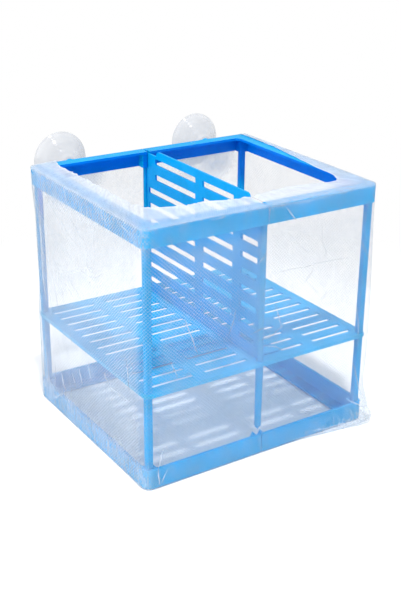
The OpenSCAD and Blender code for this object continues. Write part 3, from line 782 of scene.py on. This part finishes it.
class BREEDING_OT_hem(bpy.types.Operator):
    """Gathers the hem over the top rail and puts in its elastic edge"""
    bl_idname = "breeding_box.hem"
    bl_label = "Gathered hem"

    def execute(self, context):
        own = context.scene.breeding_net
        cloth = net_cloth("gathered_polyester_net", "#EEF2F5", gather=0.26)
        # a point every millimetre along the hem and 19 across it; its UV map is in millimetres
        count, rows, width = round(RING_LENGTH), 18, 20.0
        points, uvs, cover = [], [], []
        for i in range(count + 1):
            # the strip starts and ends at the cleft in the middle of the front
            d = D_FRONT + RING_LENGTH * i / count
            at = d % RING_LENGTH if 0 < i < count else D_FRONT + (1e-4 if i == 0 else -1e-4)
            for j in range(rows + 1):
                points.append(hem_point(at, j / rows))
                uvs.append((d, width * j / rows))
                cover.append(hem_cover(ring(at)[0], j / rows))
        faces = grid_faces(count + 1, rows + 1)
        hem = mesh_object("gathered_hem", points, faces, cloth, uvs=uvs, cover=cover)
        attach(hem, "frame")
        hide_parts("net_hem")
        # the hem is the same net, gathered, so its threads lie closer and go on crossing diagonally
        woven = []
        spans = round(RING_LENGTH / (own.pitch / MM * 0.8))
        for lean in (12, -12):
            for i in range(spans):
                walks = [(D_FRONT + RING_LENGTH * (i + 0.5) / spans + lean * j / 12, j / 12) for j in range(1, 13)]
                line = [hem_point(d % RING_LENGTH, across) for d, across in walks
                        if D_FRONT < d < D_FRONT + RING_LENGTH]
                if len(line) > 1:
                    woven.append(line)
        spun("hem_threads", woven, Thread_radius=own.thread / 2, Sides=3)
        edge = points[rows::rows + 1]
        spun("elastic_edge", [edge], [0.35 + 0.75 * ruffle(point) for point in edge], Thread_radius=own.bead,
             Lumps=1.3, Lump_length=3 * MM, Sides=7, Seed=own.seed)
        return {"FINISHED"}


# folds of the net on each wall: half the fold's width, its opacity, and its line in millimetres, as (y, z)
# on the left wall and (x, z) on the front
LEFT_FOLDS = [
    (1, 0.2125, [(38.7, 139.5), (29.6, 135.9), (23.5, 130.2), (15, 122.9), (11.3, 121)]),
    (1, 0.2125, [(30.7, 138.7), (19.4, 131.4), (12, 126.9), (2, 125.2)]),
    (0.9, 0.1875, [(23.6, 143.1), (15.9, 141.6), (8.6, 137.1), (1.4, 132), (-5.9, 130.7)]),
    (1, 0.175, [(22, 118.9), (15.6, 115.9), (12, 112.7)]),
    (0.8, 0.3, [(40.7, 109.1), (37, 104.5), (30.5, 100.1), (22.9, 95), (12.8, 88.9)]),
    (0.8, 0.275, [(38.4, 104), (33.7, 95.8), (30.1, 90.5), (28, 84)]),
    (0.8, 0.275, [(19.7, 100.6), (13.4, 97), (7, 94.8), (3.3, 93)]),
    (0.8, 0.25, [(44.2, 102.1), (39.9, 90.4), (36.8, 79.5), (33.7, 68.6)]),
    (0.8, 0.25, [(34.3, 104.1), (27.6, 102.4), (19.4, 103.9), (8.5, 108.8), (0.6, 110.9), (-6.9, 110.3),
     (-14.3, 111.6), (-21.9, 116), (-28, 119.9)]),
    (0.7, 0.175, [(-8.2, 127.8), (-6.2, 118.7), (-7.1, 112.8)]),
    (0.7, 0.175, [(-15.1, 140.6), (-15.9, 135), (-16.7, 128.1)]),
    (0.35, 0.85, [(46.5, 155.5), (46.7, 134.7), (46.3, 96.1), (46.2, 58.4)]),
    (0.35, 0.675, [(56.3, 144.7), (56.5, 119.1), (56.2, 79.3)]),
    (0.35, 0.675, [(61.3, 55.3), (60.6, 35.7), (57.2, 12.5)]),
    (0.35, 0.5875, [(57.7, 53.9), (55.9, 30.5), (54.2, 12.3)]),
    (0.4, 0.675, [(-23.2, 155.5), (-25.4, 152.8), (-28.6, 149.2)]),
    (0.4, 0.675, [(-28.9, 155), (-29.9, 151.9), (-30.8, 147.6)]),
    (0.5, 0.5875, [(-45.7, 154.2), (-50, 152.7), (-57.4, 151.1)]),
    (0.4, 0.5125, [(4.4, 155.5), (2.5, 149)]),
    (0.4, 0.5125, [(22.1, 155.5), (19.8, 154.4), (17.8, 149)]),
    (0.4, 0.7625, [(36, 31.8), (33.7, 25.7), (30.1, 18.8)]),
    (0.35, 0.675, [(20, 38), (15.3, 28.2)]),
    (0.4, 0.7625, [(9.9, 44.4), (5.4, 34.1)]),
    (0.35, 0.5875, [(-2.8, 55.1), (-5.8, 43.1)]),
    (0.35, 0.5125, [(20.2, 65.8), (18.3, 57.1)]),
    (0.35, 0.675, [(0.3, 12.8), (6.5, 2.8)]),
    (0.35, 0.5875, [(0.3, 12.8), (-4.7, 9.7)]),
    (0.35, 0.5875, [(-25.4, 11.6), (-23.6, 1.7)]),
    (0.35, 0.5875, [(27.6, 15.6), (22.6, 7.9)]),
    (0.35, 0.5125, [(-37.9, 13.8), (-33.7, 3.5)]),
    (0.4, 0.5875, [(-23, 55.8), (-27.7, 51.4)]),
    (0.7, 0.5, [(-50.1, 76.2), (-52, 67.1), (-52.7, 57.4)]),
    (0.9, 0.5625, [(66.2, 13.6), (60.6, 9.5), (54, 13.9)]),
    (0.9, 0.5, [(54.4, 10.8), (45.7, 8.1), (36.3, 14.6)]),
    (0.45, 0.5125, [(-21.8, 55.3), (-32.4, 49.6), (-46.7, 49.6), (-55.9, 51.3)]),
    (0.4, 0.75, [(63.4, 144.7), (59.8, 127.8), (58.2, 105.5), (59.6, 81.5)]),
    (0.35, 0.75, [(45.5, 140.1), (50, 126.2), (47.7, 108.8), (45.8, 88.4)]),
    (0.4, 0.6875, [(59.2, 97.2), (56.5, 83.3), (50.7, 70.4)]),
    (0.35, 0.625, [(61.5, 136.9), (58.2, 117.3), (53.1, 99.2)])]
FRONT_FOLDS = [
    (0.51, 0.25, [(4.4, 116.1), (11.5, 115.9), (20.1, 115.9), (26.6, 115.2), (33.2, 116.4), (39.1, 115.8),
     (46.7, 115.5), (60.5, 114.7)]),
    (0.51, 0.25, [(37.5, 140.7), (38.1, 130.8), (40, 125.6), (42.5, 121.4), (39.1, 117.1)]),
    (0.68, 0.22, [(33.2, 115.1), (32, 111), (27.9, 106.9), (25.8, 104.8)]),
    (0.9, 0.12, [(13.2, 139), (18.3, 134.5), (23.7, 128.1), (29.1, 123.4)]),
    (0.9, 0.12, [(27.9, 106.9), (33.4, 101.3), (39.1, 93.6)]),
    (0.6, 0.95, [(11.7, 154), (14.7, 150.6), (18.5, 145.8)]),
    (1, 0.3, [(0, 156), (0.1, 151), (0, 145.6)]),
    (0.595, 0.54, [(-56.1, 104.8), (-51.6, 92.4), (-47.6, 81.7), (-46.3, 77.6)]),
    (0.51, 0.47, [(-64.4, 79.9), (-61.9, 73.1), (-59.3, 66.3)]),
    (0.595, 0.41, [(-26.3, 83.7), (-23.1, 92.8), (-21.3, 101)]),
    (0.51, 0.47, [(-11.1, 81.9), (-4.2, 83.3), (2.9, 84.1)]),
    (0.595, 0.47, [(-7, 123.9), (-4.4, 126.3), (-1.7, 128.8)]),
    (0.595, 0.41, [(5.8, 99.2), (9.2, 87.7), (11.8, 78.8)]),
    (0.51, 0.47, [(-6.7, 76.3), (3.2, 77.1), (14.5, 83.3)]),
    (0.51, 0.41, [(-2.4, 72.7), (7.1, 69.7), (13.9, 65.3)]),
    (0.7, 0.3, [(68.2, 124), (72, 116.9), (75.8, 109.7)]),
    (0.6, 0.5, [(67.8, 44.6), (72.4, 29.4), (78, 12)]),
    (0.68, 0.61, [(64.2, 18.8), (70.3, 14.9), (78.2, 10.5)]),
    (0.595, 0.41, [(66.8, 85.5), (69.6, 71.5), (70.2, 54.4)]),
    (0.595, 0.34, [(39.2, 91.7), (42.1, 93.6), (44.2, 97)]),
    (0.51, 0.34, [(-39.5, 155.5), (-31.9, 155.5), (-26.7, 155.5)]),
    (0.45, 0.95, [(-72.6, 13.4), (-72.4, 7.3), (-71.8, 1.8)]),
    (0.5, 0.95, [(-65.7, 11.1), (-68.7, 6.8), (-71.4, 2.3)]),
    (0.68, 0.68, [(-69.3, 25.4), (-71.3, 19.5), (-72.6, 13.4)]),
    (0.5, 0.5, [(20, 1.8), (36, 1.2), (52, 1.6), (74, 1.2)]),
    (0.68, 0.5, [(72, 1.4), (77, 3), (80, 8), (80.2, 16)]),
    (0.51, 0.4, [(30, 4.8), (50, 3.2), (70, 4.2), (78, 9)])]


def fine_creases():
    """Fine upright creases low on the left wall, where the slack net lies over the bottom rails."""
    made = []
    for k in range(34):
        y = 62 - 3.4 * k + 5.0 * ripple(k * 1.7, 3, 0)
        low = 4 + 6 * abs(ripple(k * 2.3, 9, 0))
        tall = (9 + 16 * abs(ripple(k * 1.3, 5, 4))) * (1.5 if y > 20 else 0.8)
        lean = 5 * ripple(k * 0.9, 1, 6) - 1.5
        made.append((0.35, 0.375, [(y, low), (y + lean * 0.4, low + tall / 2), (y + lean, low + tall)]))
    return made


class BREEDING_OT_folds(bpy.types.Operator):
    """Presses the sharp folds into the net's front and left walls"""
    bl_idname = "breeding_box.folds"
    bl_label = "Folds of the net"

    # a fold's cross-section, as (share of its half width, share of its height, share of its opacity)
    section = ((-1.0, 0.0, 0.0), (-0.55, 0.4, 0.6), (0.0, 1.0, 1.0), (0.55, 0.4, 0.6), (1.0, 0.0, 0.0))

    def execute(self, context):
        cloth = net_cloth("folded_polyester_net", "#E2E7EC")
        points, faces, cover = [], [], []
        # each wall's folds, the walk round the ring to its middle, and the way in which that walk goes
        for folds, middle, way in ((LEFT_FOLDS + fine_creases(), HALF_X + ARC + HALF_Y, -1),
                                   (FRONT_FOLDS, D_FRONT, 1)):
            for half, opacity, fold in folds:
                line = [(a, b, 0) for a, b in fold]
                length = sum((Vector(b) - Vector(a)).length for a, b in zip(line, line[1:]))
                # a cross-section every 1.6 mm
                steps = max(6, round(length / 1.6))
                faces += grid_faces(steps + 1, len(self.section), first=len(points))
                for i in range(steps + 1):
                    t = i / steps
                    at = along(line, t)
                    ahead = (along(line, min(1, t + 0.12)) - along(line, max(0, t - 0.12))).normalized()
                    sidewise = Vector((-ahead.y, ahead.x, 0))
                    wobble = ripple(at.x * 0.15, at.y * 0.15, 1) * 0.4
                    taper = math.sin(math.pi * (t * 0.94 + 0.03)) ** 0.5
                    for share, lift, weight in self.section:
                        put = at + sidewise * (share * half * (0.4 + 0.6 * taper) + wobble)
                        d = middle + way * put.x
                        normal = ring(d)[1]
                        base = wall_point(d, put.y)
                        off = 0.1 + lift * min(0.5, half) * taper
                        points.append((base.x + normal.x * off, base.y + normal.y * off, base.z))
                        cover.append(opacity * weight * taper)
        folds = mesh_object("net_folds", points, faces, cloth, cover=cover)
        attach(folds, "frame")
        return {"FINISHED"}


def seen_plainly(tree):
    """1 for what the camera, a gloss or a clear piece shows, and 0 for light on the object."""
    ray = add(tree, "LightPath").outputs
    seen = add(tree, "Math", operation="MAXIMUM", i0=ray["Is Camera Ray"], i1=ray["Is Glossy Ray"])
    return add(tree, "Math", operation="MAXIMUM", i0=seen, i1=ray["Is Transmission Ray"])


class BREEDING_OT_stage(bpy.types.Operator):
    """Sets the camera, the pale floor and the soft light"""
    bl_idname = "breeding_box.stage"
    bl_label = "Stage"

    # name, place, aim, size in metres and power in watts
    lamps = (("key", (-0.27, -0.67, 2.12), (0, 0, 0.06), 0.12, 33),
             ("top", (-0.3, -0.5, 1.8), (0, 0, 0.05), 1.5, 8.5),
             ("side", (-1.75, -0.15, 0.8), (0, 0, 0.08), 1.2, 21))

    def execute(self, context):
        scene = context.scene
        self.set_camera(scene, scene.breeding_stage)
        self.lay_floor()
        for name, place, aim, size, power in self.lamps:
            lamp = bpy.data.lights.new(name, "AREA")
            lamp.size = size
            lamp.energy = power
            item = bpy.data.objects.new(name, lamp)
            scene.collection.objects.link(item)
            item.location = place
            item.rotation_mode = "QUATERNION"
            item.rotation_quaternion = (Vector(aim) - Vector(place)).to_track_quat("-Z", "Y")
        world = bpy.data.worlds.new("studio")
        scene.world = world
        world.use_nodes = True
        tree = world.node_tree
        tree.nodes.clear()
        soft = add(tree, "Background", Color=(1, 1, 1, 1), Strength=0.72)
        white = add(tree, "Background", Color=(1, 1, 1, 1), Strength=1.0)
        mixed = add(tree, "MixShader", i0=seen_plainly(tree), i1=soft, i2=white)
        add(tree, "OutputWorld", Surface=mixed)
        scene.view_settings.view_transform = "Standard"
        return {"FINISHED"}

    def set_camera(self, scene, own):
        """Aims the camera by azimuth, elevation and roll."""
        azimuth, elevation, roll = (math.radians(v) for v in own.turn)
        data = bpy.data.cameras.new("camera")
        data.lens = own.lens
        data.sensor_width = 36
        data.shift_x = own.shift
        data.clip_start = 0.01
        data.clip_end = 50
        camera = bpy.data.objects.new("camera", data)
        scene.collection.objects.link(camera)
        camera.matrix_world = (
            Matrix.Translation(Vector(own.place)) @ Matrix.Rotation(azimuth, 4, "Z")
            @ Matrix.Rotation(math.pi / 2 - elevation, 4, "X") @ Matrix.Rotation(roll, 4, "Z"))
        scene.camera = camera

    def lay_floor(self, half=9000, z=-0.4):
        """A pale floor that keeps the object's shadow; away from the object it shows as plain white."""
        material, tree = new_material("stage_paper")
        paper = add(tree, "BsdfDiffuse", Color=linear("#F6F6F6"))
        glow = add(tree, "Emission", Color=(1, 1, 1, 1), Strength=1.0)
        place = add(tree, "TexCoord").outputs["Object"]
        far = add(tree, "VectorMath", operation="LENGTH", i0=place).outputs["Value"]
        far = add(tree, "MapRange", interpolation_type="SMOOTHSTEP", Value=far, i1=0.13, i2=0.36, i3=0.0, i4=1.0)
        share = add(tree, "Math", operation="MULTIPLY", i0=seen_plainly(tree), i1=far)
        mixed = add(tree, "MixShader", i0=share, i1=paper, i2=glow)
        add(tree, "OutputMaterial", Surface=mixed)
        corners = [(-half, -half, z), (half, -half, z), (half, half, z), (-half, half, z)]
        mesh_object("stage_floor", corners, [(0, 1, 2, 3)], material)


class BREEDING_PT_panel(bpy.types.Panel):
    """Lists the pieces of the breeding box"""
    bl_idname = "BREEDING_PT_panel"
    bl_label = "Breeding box"
    bl_space_type = "VIEW_3D"
    bl_region_type = "UI"
    bl_category = "Breeding box"

    def draw(self, context):
        for group in SETTINGS:
            own = getattr(context.scene, group)
            box = self.layout.box()
            for name in own.__annotations__:
                box.prop(own, name)
        for operator in OPERATORS:
            self.layout.operator(operator.bl_idname)


SETTINGS = {"breeding_plastic": BreedingBoxPlastic, "breeding_net": BreedingBoxNet,
            "breeding_stage": BreedingBoxStage}
OPERATORS = (BREEDING_OT_plastics, BREEDING_OT_cups, BREEDING_OT_net, BREEDING_OT_hem, BREEDING_OT_folds,
             BREEDING_OT_stage)
CLASSES = (*SETTINGS.values(), *OPERATORS, BREEDING_PT_panel)


def register():
    for item in CLASSES:
        bpy.utils.register_class(item)
    for name, group in SETTINGS.items():
        setattr(bpy.types.Scene, name, bpy.props.PointerProperty(type=group))


def unregister():
    for name in SETTINGS:
        delattr(bpy.types.Scene, name)
    for item in reversed(CLASSES):
        bpy.utils.unregister_class(item)


def main():
    register()
    for operator in (bpy.ops.breeding_box.plastics, bpy.ops.breeding_box.cups, bpy.ops.breeding_box.net,
                     bpy.ops.breeding_box.hem, bpy.ops.breeding_box.folds, bpy.ops.breeding_box.stage):
        operator()


if __name__ == "__main__":
    main()
